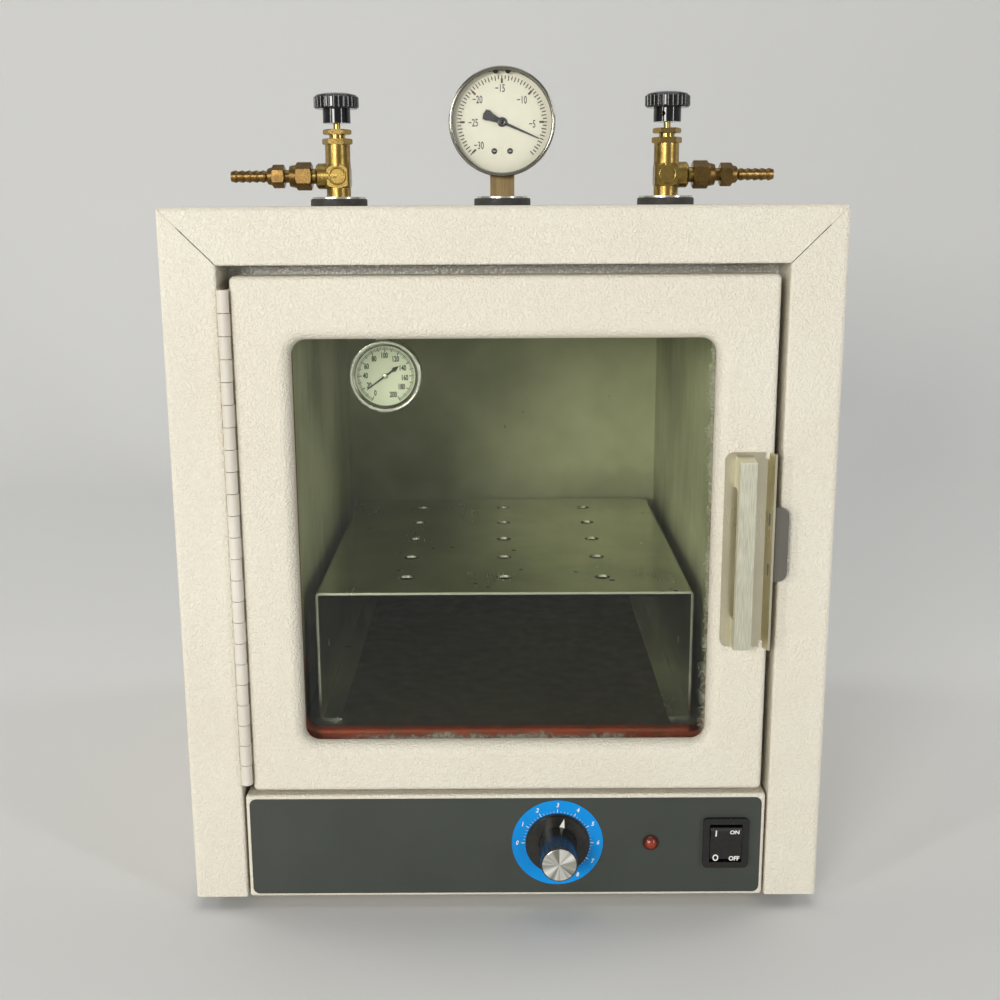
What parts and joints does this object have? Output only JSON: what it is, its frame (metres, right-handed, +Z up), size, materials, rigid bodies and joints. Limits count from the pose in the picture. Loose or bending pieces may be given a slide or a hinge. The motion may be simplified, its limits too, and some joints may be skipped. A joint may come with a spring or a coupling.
{
  "type": "vacuum oven",
  "caption": "Benchtop vacuum oven with a glazed door on a piano hinge, a control panel below it and needle valves and a vacuum gauge on top.",
  "frame": {"origin": "under the middle of the whole object's outline, at the level of the feet's soles", "axes": "+Z up, -Y towards the front with the door, +X to the right seen from the front"},
  "size_m": [0.378, 0.4324, 0.507],
  "materials": {
    "cream_paint": "cream powder coat, fine orange peel",
    "chamber_paint": "grey-green heat-proof paint",
    "plated_steel": "zinc plated steel",
    "stainless": "stainless sheet, mill finish",
    "aluminium_bar": "brushed aluminium",
    "chrome_bezel": "chromed steel",
    "fitting_brass": "dull yellow brass",
    "copper_bulb": "bare copper",
    "insulation_wool": "glass wool",
    "heater_mat": "silicone heater mat",
    "gasket_rubber": "orange-red silicone rubber",
    "black_rubber": "matt black rubber",
    "door_glass": "thick tempered glass, faint green",
    "lens_glass": "clear lens",
    "gloss_black": "gloss black moulded plastic",
    "matt_black": "matt black moulded plastic",
    "tab_grey": "dark grey plastic",
    "overlay": "dark grey-green printed sheet",
    "ring_blue": "bright blue printed ring",
    "lamp_red": "dark red-amber lens",
    "magnet": "ferrite magnet in a steel channel",
    "thermostat_case": "phenolic and steel housing",
    "gauge_black": "black enamel",
    "dial_cream": "cream dial enamel",
    "pointer_black": "black enamel"
  },
  "bodies": {
    "oven": {"cabinet_wrap": "cream_paint", "cabinet_base": "cream_paint", "rear_cover": "cream_paint", "rear_screws": "plated_steel", "feet": "black_rubber", "chamber": "chamber_paint", "chamber_supports": "plated_steel", "chamber_fascia": "plated_steel", "insulation": "insulation_wool", "heater_pads": "heater_mat", "door_gasket": "gasket_rubber", "hinge_frame_leaf": "cream_paint", "hinge_pin": "plated_steel", "catch_magnet": "magnet", "control_panel": "cream_paint", "panel_overlay": "overlay", "dial_ring": "ring_blue", "thermostat_body": "thermostat_case", "thermostat_bulb": "copper_bulb", "pilot_lens": "lamp_red", "lamp_body": "matt_black", "switch_housing": "matt_black", "power_inlet": "matt_black", "port_nipples": "fitting_brass", "port_bushings": "black_rubber", "port_washers": "stainless", "left_valve_body": "fitting_brass", "left_hose_barb": "fitting_brass", "right_valve_body": "fitting_brass", "right_hose_barb": "fitting_brass", "valve_bonnets": "fitting_brass", "packing_nuts": "fitting_brass", "union_nuts": "fitting_brass", "gauge_case": "gauge_black", "gauge_bezel": "chrome_bezel", "gauge_dial": "dial_cream", "gauge_lens": "lens_glass", "gauge_socket": "fitting_brass", "shelf": "stainless", "thermometer_case": "stainless"},
    "door": {"door_shell": "cream_paint", "door_glass": "door_glass", "glass_holder": "plated_steel", "holder_screws": "plated_steel", "hinge_door_leaf": "cream_paint", "handle_plate": "stainless", "handle_bar": "aluminium_bar", "handle_tab": "tab_grey", "handle_screws": "plated_steel", "catch_plate": "plated_steel"},
    "thermostat_knob": {"control_knob": "gloss_black", "knob_cap": "aluminium_bar", "knob_shaft": "plated_steel"},
    "rocker": {"switch_rocker": "gloss_black"},
    "left_stem": {"left_valve_stem": "fitting_brass"},
    "left_hand_knob": {"left_valve_knob": "gloss_black"},
    "right_stem": {"right_valve_stem": "fitting_brass"},
    "right_hand_knob": {"right_valve_knob": "gloss_black"},
    "gauge_needle": {"gauge_pointer": "pointer_black"},
    "thermometer_needle": {"thermometer_pointer": "pointer_black"}
  },
  "joints": [
    {"name": "door_hinge", "type": "hinge", "parent": "oven", "child": "door", "pos_m": [-0.1542, -0.18885, 0.22955], "axis": [0, 0, -1], "range_deg": [0, 165]},
    {"name": "thermostat_turn", "type": "hinge", "parent": "oven", "child": "thermostat_knob", "pos_m": [0.0312, -0.19765, 0.0433], "axis": [0, 1, 0], "range_deg": [-103, 137]},
    {"name": "rocker_tip", "type": "hinge", "parent": "oven", "child": "rocker", "pos_m": [0.1326, -0.18415, 0.0433], "axis": [-1, 0, 0], "range_deg": [0, 12]},
    {"name": "left_stem_rise", "type": "slide", "parent": "oven", "child": "left_stem", "axis": [0, 0, 1], "range_m": [0, 0.00212]},
    {"name": "left_knob_turn", "type": "hinge", "parent": "left_stem", "child": "left_hand_knob", "pos_m": [-0.1095, -0.01265, 0.478], "axis": [0, 0, 1], "range_deg": [0, 720]},
    {"name": "right_stem_rise", "type": "slide", "parent": "oven", "child": "right_stem", "axis": [0, 0, 1], "range_m": [0, 0.00212]},
    {"name": "right_knob_turn", "type": "hinge", "parent": "right_stem", "child": "right_hand_knob", "pos_m": [0.1095, -0.01265, 0.478], "axis": [0, 0, 1], "range_deg": [0, 720]},
    {"name": "gauge_sweep", "type": "hinge", "parent": "oven", "child": "gauge_needle", "pos_m": [0, -0.02365, 0.4722], "axis": [0, 1, 0], "range_deg": [-248.4, 21.6]},
    {"name": "thermometer_sweep", "type": "hinge", "parent": "oven", "child": "thermometer_needle", "pos_m": [-0.0736, -0.09765, 0.3155], "axis": [0, 1, 0], "range_deg": [-24, 276]}
  ],
  "couplings": [
    {"joint": "left_knob_turn", "follows": "left_stem_rise", "rad_per_m": 5927.5},
    {"joint": "right_knob_turn", "follows": "right_stem_rise", "rad_per_m": 5927.5}
  ]
}
